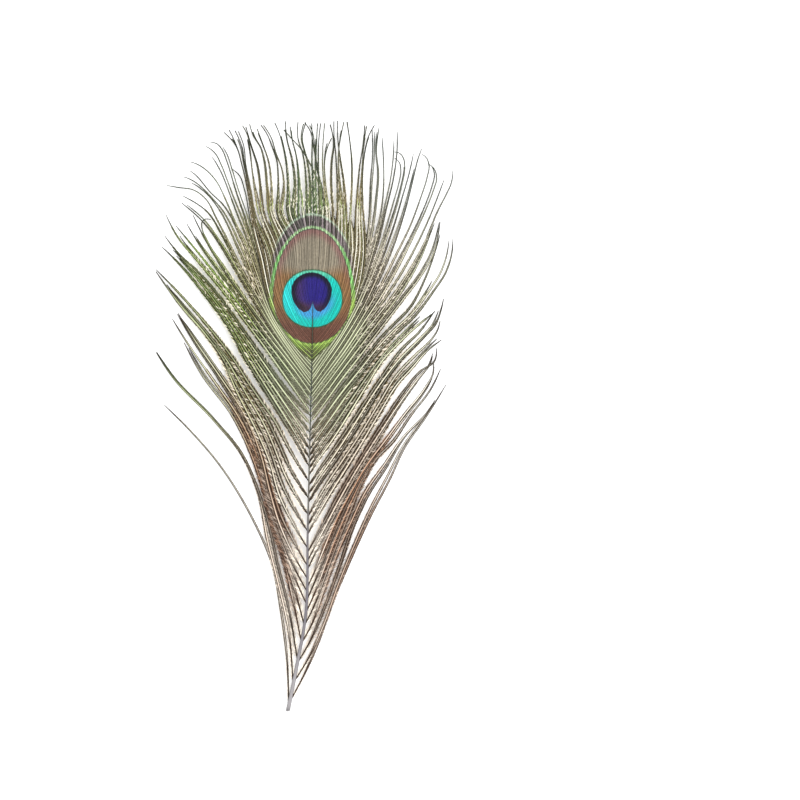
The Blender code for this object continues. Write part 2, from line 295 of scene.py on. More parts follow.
RIGHT_CREST = [
    (7, 0.25, 0.3, 0.4, [
        [(27.3, 99), (27, 110), (27.4, 118), (28.6, 127), (30, 132), (33, 137.6)],
        [(25.9, 99), (26.7, 112), (27.2, 120), (27.7, 128), (29.2, 137.3)],
        [(24.4, 99), (25.2, 110), (26.2, 119.7), (27.5, 128), (28.2, 137.6)]]),
    (3, 0.2, 0.35, 0.4, [
        [(21.7, 98), (22.3, 110), (22.2, 121), (21.2, 130.3), (19.9, 139.3)]]),
    (7, 0.15, 0.4, 0.3, [
        [(19.6, 99), (18.5, 110.4), (16.6, 121.7), (15.2, 131.6), (15.2, 139.8)],
        [(17.2, 100), (16.2, 112), (16, 125), (17.2, 133), (18.5, 139.3)],
        [(15.6, 100), (15.2, 112), (14.5, 123), (13.6, 133), (13.6, 139.6)]]),
    (2, 0.15, 0.4, 0.3, [
        [(13.2, 99), (12.4, 110), (12.6, 120), (13.6, 129), (12, 138)]]),
    (3, 0.1, 0.6, 0.5, [
        [(11.2, 99), (9.6, 112), (9.3, 119), (10.5, 126.5), (12.6, 131.5)],
        [(10.2, 99), (9, 110), (8.4, 120), (8.7, 130), (9.4, 138.6)]]),
    (3, 0.0, 0.9, 0.3, [
        [(9.3, 98), (8.3, 106), (5.8, 117), (4.3, 127), (2.6, 135), (0, 139)],
        [(7, 99), (6.6, 110), (6.4, 120), (6.6, 130), (7.5, 138.5)]]),
    (1, 0.0, 0.7, 0.4, [
        [(7, 97), (7.2, 106), (3, 118), (-2, 126.5), (-6, 131), (-10, 135.5)]]),
    (3, 0.0, 1.0, 0.2, [
        [(5.5, 99), (5, 110), (5, 120), (5.4, 130), (6, 138.5)],
        [(4.3, 98), (3.8, 111), (3.4, 121), (3.6, 130), (3.4, 138.5)]]),
]


def srgb(red, green, blue):
    """A screen colour, 0 to 255, as the linear colour that a material takes."""
    parts = [c / 255 for c in (red, green, blue)]
    return tuple(c / 12.92 if c <= 0.04045 else ((c + 0.055) / 1.055) ** 2.4 for c in parts)


def colour_of(name, description, red, green, blue):
    return bpy.props.FloatVectorProperty(
        name=name, description=description, subtype="COLOR", size=3, min=0, max=1,
        default=srgb(red, green, blue))


def length_of(name, description, default):
    return bpy.props.FloatProperty(
        name=name, description=description, default=default * MM, unit="LENGTH", precision=5)


class FeatherSizes(bpy.types.PropertyGroup):
    """Sizes of the fibres"""

    loose_reach: length_of("Loose barbule", "Length of a barbule on a loose barb", 2.5)
    loose_pitch: length_of("Loose spacing", "Distance between barbules on a loose barb", 0.24)
    loose_width: length_of("Loose width", "Width of a loose barb's barbule where it leaves its barb", 0.36)
    loose_shaft: length_of("Loose barb shaft", "Greatest width of a loose barb's own shaft", 1.35)
    eye_reach: length_of("Eye barbule", "Length of a barbule of the eye and the crest", 1.5)
    eye_pitch: length_of("Eye spacing", "Distance between barbules of the eye and the crest", 0.22)
    eye_width: length_of("Eye width", "Width of an eye barb's barbule where it leaves its barb", 0.28)
    eye_shaft: length_of("Eye barb shaft", "Width of an eye barb's own shaft outside the eye", 0.56)


class FeatherColours(bpy.types.PropertyGroup):
    """Colours of the quill, the barbs and the eye"""

    quill_pale: colour_of("Quill, cut end", "Bare quill near the cut", 158, 154, 156)
    quill_dark: colour_of("Quill, upper", "Shaft among the upper barbs", 96, 92, 80)
    # Cream is the pale barbules' own colour and also the colour of painted highlights on shafts and barbules.
    cream: colour_of("Cream", "Pale barbules and lit edges", 244, 236, 222)
    tan: colour_of("Tan", "Barbules near the quill's cut end", 190, 170, 152)
    bronze: colour_of("Bronze", "Barbules of the middle and the tips", 160, 143, 98)
    rust: colour_of("Rust", "Red-brown locks", 86, 52, 34)
    # Amber is orange-brown mixed in by tone on the red-brown locks' barbules, and the colour of the painted
    # highlight on those locks' shafts.
    amber: colour_of("Amber", "Lit barbules of the red-brown locks", 172, 108, 58)
    moss: colour_of("Moss", "Green locks", 142, 162, 78)
    ramus: colour_of("Barb shaft", "Dark edges of a loose barb", 48, 37, 26)
    pine: colour_of("Pine", "Dark shafts of the green barbs", 38, 48, 26)
    leaf: colour_of("Leaf", "Green strands above the eye", 122, 150, 92)
    lime: colour_of("Lime", "Thin ring round the eye", 166, 200, 96)
    mint: colour_of("Mint", "Upper arc and the top of the lime ring", 168, 204, 150)
    dusk: colour_of("Dusk", "Dark crescent above the eye", 118, 106, 112)
    taupe: colour_of("Taupe", "Upper half of the brown ring", 156, 146, 126)
    copper: colour_of("Copper", "Sides of the brown ring", 150, 112, 70)
    chestnut: colour_of("Chestnut", "Lower part of the brown ring", 118, 78, 62)
    mauve: colour_of("Mauve", "Upper rim of the brown ring", 148, 100, 98)
    turquoise: colour_of("Turquoise", "Blue-green ring", 12, 214, 200)
    sky: colour_of("Sky", "Blue between the lobes", 76, 176, 236)
    violet: colour_of("Violet", "Middle of the heart", 38, 24, 134)
    navy: colour_of("Navy", "Rim of the heart", 8, 6, 38)
    plum: colour_of("Plum", "Lobes of the heart", 76, 46, 70)


# ---------------------------------------------------------------- curves


def smooth_curve(points, samples):
    """Points spaced evenly along a smooth curve through the given ones."""
    points = np.asarray(points, float)
    chord = np.linalg.norm(np.diff(points[:, :2], axis=0), axis=1)
    knots = np.concatenate([[0], np.cumsum(chord)])
    slope = np.diff(points, axis=0) / chord[:, None]
    middle = (slope[:-1] * chord[1:, None] + slope[1:] * chord[:-1, None]) / (chord[:-1] + chord[1:])[:, None]
    first, last = 1.5 * slope[0] - 0.5 * middle[0], 1.5 * slope[-1] - 0.5 * middle[-1]
    tangent = np.vstack([first, middle, last])
    place = np.linspace(0, knots[-1], samples)
    span = np.clip(np.searchsorted(knots, place, side="right") - 1, 0, len(chord) - 1)
    length, share = chord[span][:, None], ((place - knots[span]) / chord[span])[:, None]
    start, end = points[span], points[span + 1]
    leave, arrive = tangent[span] * length, tangent[span + 1] * length
    square = (3 * (end - start) - 2 * leave - arrive) * share**2
    return start + leave * share + square + (2 * (start - end) + leave + arrive) * share**3


QUILL_FINE = smooth_curve(QUILL_LINE, 300)


def quill_at(y):
    """The quill's x, height and radius at this y."""
    return [np.interp(y, QUILL_FINE[:, 1], QUILL_FINE[:, k]) for k in (0, 2, 3)]


def foot(root_y, side):
    """Where a barb with this root leaves the quill."""
    x, _, radius = quill_at(root_y)
    return (x + side * 0.3 * radius, root_y)


def eye_stations(root_y, side):
    """Where an eye barb with this root passes on its way to the upper rim."""
    share = (root_y - EYE_ROOTS[0]) / (EYE_ROOTS[1] - EYE_ROOTS[0])
    edge, centre = (np.array(stations) for stations in EYE_STATIONS[side])
    return edge + (centre - edge) * share


def between(paths, place):
    """The path at this place among a lock's guides, with a place for each row."""
    last = len(paths) - 1
    first = np.clip(np.floor(place).astype(int), 0, max(last - 1, 0))
    share = (place - first)[:, None]
    row = np.arange(len(place))
    return paths[first, row] * (1 - share) + paths[np.minimum(first + 1, last), row] * share


def ease(values, low, high):
    """Rises smoothly from 0 at low to 1 at high."""
    share = np.clip((values - low) / (high - low), 0, 1)
    return share * share * (3 - 2 * share)


class Barbs:
    """The centre lines of a group of barbs, with what each barb says of its colour and its barbules."""

    def __init__(self, locks, side, crest, sag, random):
        self.side, self.places = side, np.linspace(0, 1, BARB_ROWS)
        flat, layer, roots, self.rust, self.moss, self.bare = [], [], [], [], [], []
        eye_roots = iter(np.linspace(*EYE_ROOTS, sum(lock[0] for lock in locks)))
        closing = ease(self.places, 0.02, 0.3) * 0.6 if crest else ease(self.places, 0.5, 0.85) * 0.5
        for lock, (count, rust, moss, bare, guides) in enumerate(locks):
            if crest:
                paths = np.array([smooth_curve(guide, BARB_ROWS) for guide in guides])
            else:
                starts = [root_y for root_y, _ in guides]
                whole_guides = [[foot(root_y, side), *rest] for root_y, rest in guides]
                paths = np.array([smooth_curve(guide, BARB_ROWS) for guide in whole_guides])
            for number, share in enumerate(np.linspace(0, 1, count)):
                place = share * (len(guides) - 1)
                if crest:
                    root_y = next(eye_roots)
                else:
                    root_y = starts[0] + share * (starts[-1] - starts[0])
                    place = np.interp(root_y, starts, range(len(guides)))
                path = between(paths, place + (np.round(place) - place) * closing)
                if crest:
                    path = smooth_curve([foot(root_y, side), *eye_stations(root_y, side), *path], BARB_ROWS)
                roots.append(root_y)
                whole = place == np.round(place)
                flat.append(self.strayed(path, 1.0 if whole else random.uniform(0.9, 1.0), random))
                layer.append(0.08 * (number % 3 - 1) + 0.1 * (lock % 2))
                self.rust.append(rust * random.uniform(0.7, 1.2))
                self.moss.append(moss * random.uniform(0.75, 1.15))
                self.bare.append(bare)
        flat, self.roots = np.array(flat), np.array(roots)
        height = quill_at(self.roots)[1][:, None]
        z = TIP_HEIGHT + (height - TIP_HEIGHT) * (1 - self.places**sag)
        z = z + np.array(layer)[:, None] * np.sin(np.pi * np.clip(self.places * 1.6, 0, 1) / 2)
        self.points = np.dstack([flat, np.maximum(z, LEAST_HEIGHT)])
        self.tone = np.clip(0.2 + 0.6 * (np.arange(len(flat)) % 2) + random.normal(0, 0.15, len(flat)), 0, 1)

    @staticmethod
    def strayed(path, share, random):
        """The path cut to this share of its length, with a faint wave of its own."""
        rows = len(path)
        place = np.linspace(0, (rows - 1) * share, rows)
        path = np.column_stack([np.interp(place, range(rows), path[:, k]) for k in (0, 1)])
        tangent = np.gradient(path, axis=0)
        normal = np.column_stack([-tangent[:, 1], tangent[:, 0]]) / np.linalg.norm(tangent, axis=1)[:, None]
        along = np.linspace(0, 1, rows)
        wave = random.normal(0, 0.25) * np.sin(along * random.uniform(4, 9) + random.uniform(0, 6))
        return path + normal * (wave * along)[:, None]


# ---------------------------------------------------------------- meshes


def mesh_object(name, points, faces, attributes, smooth):
    """An object from points in millimetres, arrays of faces, and a value a point for each attribute."""
    mesh = bpy.data.meshes.new(name)
    mesh.vertices.add(len(points))
    mesh.vertices.foreach_set("co", (np.asarray(points) * MM).astype(np.float32).ravel())
    corners = np.concatenate([rows.ravel() for rows in faces]).astype(np.int32)
    sizes = np.concatenate([np.full(len(rows), rows.shape[1]) for rows in faces])
    mesh.loops.add(len(corners))
    mesh.loops.foreach_set("vertex_index", corners)
    mesh.polygons.add(len(sizes))
    mesh.polygons.foreach_set("loop_start", np.concatenate([[0], np.cumsum(sizes)[:-1]]).astype(np.int32))
    mesh.polygons.foreach_set("use_smooth", np.full(len(sizes), smooth))
    mesh.update(calc_edges=True)
    for key, values in attributes.items():
        data = mesh.attributes.new(key, "FLOAT", "POINT").data
        data.foreach_set("value", np.asarray(values, np.float32).ravel())
    low, high = points.min(axis=0)[:2], points.max(axis=0)[:2]
    flat = ((points[:, :2] - low) / (high - low))[corners]
    mesh.uv_layers.new(name="OFBake").data.foreach_set("uv", flat.astype(np.float32).ravel())
    made = bpy.data.objects.new(name, mesh)
    bpy.context.scene.collection.objects.link(made)
    return made


def unit(vectors):
    return vectors / np.maximum(np.linalg.norm(vectors, axis=-1, keepdims=True), 1e-9)


def tubes(name, barbs, ring, across):
    """Closed tubes along the barbs. ring gives each row's corners as sideways and upward offsets."""
    points = barbs.points
    count, rows = points.shape[:2]
    tangent = unit(np.gradient(points, axis=1))
    sideways = unit(np.cross([0.0, 0.0, 1.0], tangent))
    upwards = np.cross(tangent, sideways)
    corners = ring.shape[2]
    verts = points[:, :, None] + sideways[:, :, None] * ring[..., :1] + upwards[:, :, None] * ring[..., 1:]
    index = np.arange(count * rows * corners).reshape(count, rows, corners)
    turned = np.roll(index, -1, axis=2)
    sides = np.stack([index[:, :-1], turned[:, :-1], turned[:, 1:], index[:, 1:]], axis=-1).reshape(-1, 4)
    ends = np.concatenate([index[:, 0, ::-1], index[:, -1]])
    spread = np.ones((count, rows, corners))
    return mesh_object(name, verts.reshape(-1, 3), [sides, ends], {
        "along": barbs.places[None, :, None] * spread,
        "across": spread * across,
        "reach": spread * 0,
        "tone": barbs.tone[:, None, None] * spread,
        "rust": np.asarray(barbs.rust)[:, None, None] * spread,
        "moss": np.asarray(barbs.moss)[:, None, None] * spread,
    }, True)


def rami(name, barbs, half):
    """The barbs' own shafts, flat and four-sided, from half widths. Across is 1 on the crest's side."""
    section = np.array([(1.0, 0.12), (0.0, 0.42), (-1.0, 0.12), (0.0, -0.4)])
    return tubes(name, barbs, half[..., None, None] * section, 0.5 + 0.5 * barbs.side * section[:, 0])


class Spikes:
    """Barbules gathered as closed blades of four faces, to be made one mesh."""

    def __init__(self):
        self.points, self.values = [], []

    def add(self, base, aim, reach, width, values):
        """Blades from these bases, each along its aim."""
        aside = unit(np.cross([0.0, 0.0, 1.0], aim)) * width[:, None] / 2
        up = np.cross(aim, aside) * 0.5
        up = up * np.sign(up[:, 2:])
        tip = base + aim * reach[:, None]
        self.points.append(np.stack([base - aside, base + aside, base + up, tip], axis=1))
        self.values.append(np.repeat(values[:, None], 4, axis=1))

    def joined(self, name):
        points = np.concatenate(self.points)
        first = np.arange(len(points))[:, None, None] * 4
        faces = (first + np.array([(0, 2, 1), (0, 1, 3), (1, 2, 3), (2, 0, 3)])).reshape(-1, 3)
        values = np.concatenate(self.values)
        names = ("along", "across", "tone", "rust", "moss")
        attributes = {key: values[..., k] for k, key in enumerate(names)}
        attributes["reach"] = np.tile([0.0, 0.0, 0.0, 1.0], len(points))
        return mesh_object(name, points.reshape(-1, 3), [faces], attributes, False)


def barbules(name, barbs, half, reach, pitch, width, angle, random):
    """Barbules on both sides of the barbs, from the edges of shafts with this half width a barb and row.

    reach gives their lengths from the barb's root, their places along it and their y.
    """
    spikes = Spikes()
    for b in range(len(barbs.points)):
        line = barbs.points[b]
        gone = np.concatenate([[0], np.cumsum(np.linalg.norm(np.diff(line, axis=0), axis=1))])
        slope = np.gradient(line, gone, axis=0)
        bare_from = 0.97 - 0.34 * barbs.bare[b] * random.uniform(0.8, 1.1)
        cells = int(gone[-1] / CLUMP) + 3
        for hand in (-1, 1):
            at = np.arange(0.012 * gone[-1], bare_from * gone[-1], pitch)
            at = at + random.uniform(-0.4, 0.4, len(at)) * pitch
            share = at / gone[-1]
            tangent = unit(np.column_stack([np.interp(at, gone, slope[:, k]) for k in range(3)]))
            normal = unit(np.cross([0.0, 0.0, 1.0], tangent)) * hand
            edge = np.interp(at, gone, half[b])[:, None]
            base = np.column_stack([np.interp(at, gone, line[:, k]) for k in range(3)])
            base = base + edge * (normal * 0.85 - (0, 0, 0.2)) - (0, 0, 0.05)
            clump = np.interp(at / CLUMP, np.arange(cells), random.uniform(0, 1, cells))
            close = ease(share, bare_from - 0.35, bare_from)
            lean = np.radians(angle) * (1 - 0.6 * close) * (0.8 + 0.4 * clump)
            lean = lean + random.normal(0, 0.06, len(at))
            rise = random.normal(-0.03, 0.05, len(at))
            aim = tangent * np.cos(lean)[:, None] + normal * np.sin(lean)[:, None]
            aim = unit(aim + np.outer(rise, [0, 0, 1]))
            long = reach(barbs.roots[b], share, base[:, 1]) * (1 - 0.55 * close)
            long = np.maximum(long * (0.68 + 0.45 * clump + random.normal(0, 0.07, len(at))), 0.15)
            aim[:, 2] = np.maximum(aim[:, 2], (0.1 - base[:, 2]) / long)
            tone = 0.5 + 1.3 * (clump - 0.5) + 0.35 * (barbs.tone[b] - 0.5)
            tone = tone + random.normal(0, 0.18, len(at))
            wide = width * random.uniform(0.8, 1.2, len(at)) * (1 - 0.4 * close)
            spikes.add(base, aim, long, wide, np.column_stack([
                share, np.full(len(at), 0.5 + 0.5 * hand * barbs.side), np.clip(tone, 0, 1),
                np.full(len(at), barbs.rust[b]), np.full(len(at), barbs.moss[b])]))
    return spikes.joined(name)


# ---------------------------------------------------------------- materials


class Value:
    """A socket that takes part in sums. Each sum adds its Math node."""

    def __init__(self, finish, socket):
        self.finish, self.socket = finish, socket

    def math(self, operation, *others):
        return self.finish.node("ShaderNodeMath", {"operation": operation}, dict(enumerate([self, *others])))

    def __add__(self, other):
        return self.math("ADD", other)

    def __sub__(self, other):
        return self.math("SUBTRACT", other)

    def __rsub__(self, other):
        return (self * -1.0) + other

    def __mul__(self, other):
        return self.math("MULTIPLY", other)

    def __truediv__(self, other):
        return self.math("DIVIDE", other)

    def __pow__(self, other):
        return self.math("POWER", other)

    def __abs__(self):
        return self.math("ABSOLUTE")

    __radd__, __rmul__ = __add__, __mul__

    def most(self, other):
        return self.math("MAXIMUM", other)

    def step(self, low, high):
        """Rises smoothly from 0 at low to 1 at high, or falls where low is the larger."""
        return self.finish.node("ShaderNodeMapRange", {"interpolation_type": "SMOOTHSTEP"}, {
            "Value": self, "From Min": low, "From Max": high, "To Min": 0.0, "To Max": 1.0})

    def band(self, low, high, soft):
        """1 between low and high, falling to 0 over the soft width at each end."""
        return self.step(low - soft, low + soft) * self.step(high + soft, high - soft)


class Finish:
    """A material with a Principled BSDF, and the ways to feed it."""

    def __init__(self, name, constants):
        self.material = bpy.data.materials.new(name)
        self.material.use_nodes = True
        self.tree = self.material.node_tree
        self.shader = self.tree.nodes["Principled BSDF"]
        for key, value in constants.items():
            self.shader.inputs[key].default_value = value

    def node(self, kind, settings, inputs, output=0):
        made = self.tree.nodes.new(kind)
        for key, value in settings.items():
            setattr(made, key, value)
        for key, value in inputs.items():
            self.feed(made.inputs[key], value)
        return Value(self, made.outputs[output])

    def feed(self, socket, value):
        if isinstance(value, Value):
            self.tree.links.new(value.socket, socket)
        elif hasattr(socket.default_value, "__len__") and len(socket.default_value) == 4:
            socket.default_value = (*value, 1.0)
        else:
            socket.default_value = value

    def place(self):
        """The object's own x and y in millimetres."""
        spot = self.node("ShaderNodeTexCoord", {}, {}, "Object")
        apart = self.tree.nodes.new("ShaderNodeSeparateXYZ")
        self.tree.links.new(spot.socket, apart.inputs[0])
        return [Value(self, apart.outputs[k]) / MM for k in range(2)]

    def read(self, name):
        return self.node("ShaderNodeAttribute", {"attribute_name": name}, {}, "Fac")

    def noise(self, scale, stretch=(1, 1, 1), detail=2.0):
        """Soft noise, with scale as cells a metre."""
        spot = self.node("ShaderNodeTexCoord", {}, {}, "Object")
        spot = self.node("ShaderNodeMapping", {}, {"Vector": spot, "Scale": stretch})
        return self.node("ShaderNodeTexNoise", {}, {"Vector": spot, "Scale": scale, "Detail": detail})

    def mix(self, first, second, share):
        return self.node(
            "ShaderNodeMix", {"data_type": "RGBA", "clamp_factor": True}, {0: share, 6: first, 7: second}, 2)

    def lit(self, colour, strength):
        """The colour made brighter or darker by this factor."""
        return self.node("ShaderNodeVectorMath", {"operation": "SCALE"}, {0: colour, "Scale": strength})

    def paint(self, colour):
        self.feed(self.shader.inputs["Base Color"], colour)
        return self.material


def quill_finish(tints):
    """Horn, pale at the cut end and darker up among the barbs, with fine streaks and painted shade on its
    flanks.
    """
    finish = Finish("quill_keratin", {"Coat Weight": 0.15, "Coat Roughness": 0.3})
    _, y = finish.place()
    streak = finish.noise(900, (1, 0.06, 1), 3.0)
    colour = finish.mix(tints.quill_pale, SLATE, y.step(-130.0, -90.0))
    colour = finish.mix(colour, tints.quill_dark, y.step(-75.0, -25.0))
    colour = finish.mix(colour, tints.pine, y.step(-20.0, 5.0))
    finish.feed(finish.shader.inputs["Roughness"], 0.3 + streak * 0.2)
    bump = finish.node("ShaderNodeBump", {}, {"Height": streak, "Strength": 0.25, "Distance": 0.0001})
    finish.feed(finish.shader.inputs["Normal"], bump)
    # Painted shade: the quill is darkened toward its flanks, where they turn away from above.
    painted_flank_shade = finish.read("aside").step(0.55, 0.95)
    return finish.paint(finish.lit(colour, (0.82 + streak * 0.36) * (1.0 - painted_flank_shade * 0.6)))


def loose_finish(tints):
    """Barbules of the loose barbs: near white low down, then speckled tan, bronze and green, with some
    painted highlights and painted shade.
    """
    finish = Finish("loose_barbules", {"Roughness": 0.55, "Metallic": 0.1, "Specular IOR Level": 0.2})
    x, y = finish.place()
    along, reach, tone, rust, moss = map(finish.read, ("along", "reach", "tone", "rust", "moss"))
    patch = finish.noise(110, (1, 0.5, 1), 3.0)
    fine = finish.noise(1900, (1, 1, 1), 1.0)
    colour = finish.mix(tints.tan, tints.bronze, y.step(-60.0, 15.0) + (patch - 0.5) * 0.7)
    pale = y.step(0.0, -60.0) * 0.7
    colour = finish.mix(colour, tints.cream, pale + (patch - 0.5) * 0.4)
    red = rust * along.step(0.02, 0.16) * along.step(1.2, 0.75)
    colour = finish.mix(colour, finish.mix(tints.rust, tints.amber, tone.step(0.5, 0.95)), red)
    near_quill = along.step(0.45, 0.15) * y.step(0.0, 25.0)
    green = moss * (along.step(0.15, 0.7) * y.step(-10.0, 40.0) + near_quill * 1.4)
    colour = finish.mix(colour, DUN, x.step(12.0, 40.0) * y.step(10.0, 60.0) * 0.7)
    colour = finish.mix(colour, tints.moss, green * (0.5 + patch * 0.7) * x.step(40.0, -5.0))
    # Cream specks on the barbules: partly their own pale colour, partly painted highlights.
    specks_and_glints = tone.step(0.55, 0.85) * reach.step(0.95, 0.8)
    colour = finish.mix(colour, tints.cream, specks_and_glints * (0.8 - red * 0.6))
    colour = finish.lit(colour, (0.7 + (tone - 0.3) * (1.1 - pale * 0.6) + fine * 0.3) * (1.0 - red * 0.42))
    dark = finish.mix(tints.ramus, tints.pine, moss * y.step(-30.0, 20.0))
    dark = finish.mix(dark, tints.rust, red * patch)
    # The dark barb colour carried onto the barbules beside the shaft and onto their outer tips: partly the
    # barbs' own dark colour and dark beads, partly painted shade.
    beside_dark_and_shade = (reach + (fine - 0.5) * 0.3 - along.step(0.5, 0.2) * y.step(0.0, 20.0) * 0.5).step(0.5, 0.28)
    beside_dark_and_shade = beside_dark_and_shade * y.step(-75.0, -30.0).most(along.step(0.2, 0.45)) * (1.0 - tone.step(0.75, 1.0) * 0.8)
    edge = reach.step(0.62, 0.9) * along.step(0.3, 0.5) * tone.step(0.75, 0.45) * 0.4
    colour = finish.mix(colour, dark, beside_dark_and_shade.most(edge))
    # The fine lines of the V where the upper barbs leave the quill.
    filling = finish.mix(HAY, SEDGE, y.step(0.0, 28.0))
    lines = finish.mix(dark, filling, abs(reach - 0.4).step(0.05, 0.17) * (0.55 + tone * 0.55))
    return finish.paint(finish.mix(colour, lines, along.step(0.4, 0.15) * y.step(-16.0, 6.0) * 0.8))


def shaft_finish(tints):
    """Shafts of the loose barbs: two dark edges, partly the barbs' own dark colour and partly painted shade,
    and a painted highlight line between them that fades out toward the tip.
    """
    finish = Finish("barb_shafts", {"Roughness": 0.5, "Specular IOR Level": 0.2})
    x, y = finish.place()
    along, across, tone, rust, moss = map(finish.read, ("along", "across", "tone", "rust", "moss"))
    patch = finish.noise(160, (1, 0.4, 1), 3.0)
    fine = finish.noise(700, (1, 1, 1), 2.0)
    dark = finish.mix(tints.ramus, tints.pine, moss * y.step(-30.0, 20.0))
    dark = finish.mix(dark, tints.rust, rust * patch * along.step(0.75, 0.5) * 0.7)
    dark = finish.mix(dark, SOOT, y.step(80.0, 110.0))
    near_quill = along.step(0.45, 0.15) * y.step(0.0, 25.0)
    green = moss * (along.step(0.1, 0.6) * y.step(-40.0, 40.0) + near_quill * 0.8)
    green = green * (0.6 + x.step(20.0, -30.0) * 0.5)
    painted_highlight = finish.mix(tints.cream, STRAW_HIGHLIGHT, y.step(-70.0, 10.0) * x.step(38.0, 8.0) * 0.65)
    painted_highlight = finish.mix(painted_highlight, tints.lime, green)
    red = rust * along.step(0.05, 0.3) * along.step(0.85, 0.45)
    painted_highlight = finish.mix(painted_highlight, tints.amber, red * 0.85)
    # Painted highlight: a pale line along the middle of each shaft, cream, straw, lime, amber or willow by
    # place, fading toward the tip.
    glint = 0.2 + tone * 0.6 + (fine + tone * 0.3).step(0.4, 0.8) * 0.3
    highlight_share = abs(across - 0.54).step(0.27, 0.15) * glint
    from_quill = along + y.step(-20.0, 10.0) * 0.1 - y.step(-50.0, -100.0) * 0.08
    highlight_share = highlight_share * along.step(0.99, 0.85) * from_quill.step(0.02, 0.1)
    vee = along.step(0.5, 0.25) * y.step(-12.0, 6.0)
    painted_highlight = finish.mix(painted_highlight, WILLOW_HIGHLIGHT, vee * 0.85)
    vee_highlight_share = abs(across - 0.5).step(0.37, 0.2) * (0.25 + tone.step(0.35, 0.65) * 0.65)
    highlight_share = highlight_share + (vee_highlight_share - highlight_share) * vee
    highlight_share = highlight_share * (1.0 - y.step(70.0, 100.0) * along.step(0.5, 0.75) * 0.75)
    # The dark shaft colour shows at the edges beside the painted highlight, partly as painted shade.
    colour = finish.mix(dark, painted_highlight, highlight_share)
    return finish.paint(finish.lit(colour, 0.6 + tone * 0.3 + patch * 0.5))


def egg(x, y, centre, half, up, down, power=2.0):
    """About how far outside an egg's rim, from its centre, half width and reaches up and down."""
    above, below = (y - centre[1]).most(0.0), (centre[1] - y).most(0.0)
    inside = ((abs(x - centre[0]) / half) ** power + (above / up + below / down) ** power) ** (1 / power)
    return (inside - 1.0) * (half + above * ((up - half) / up) + below * ((down - half) / down))


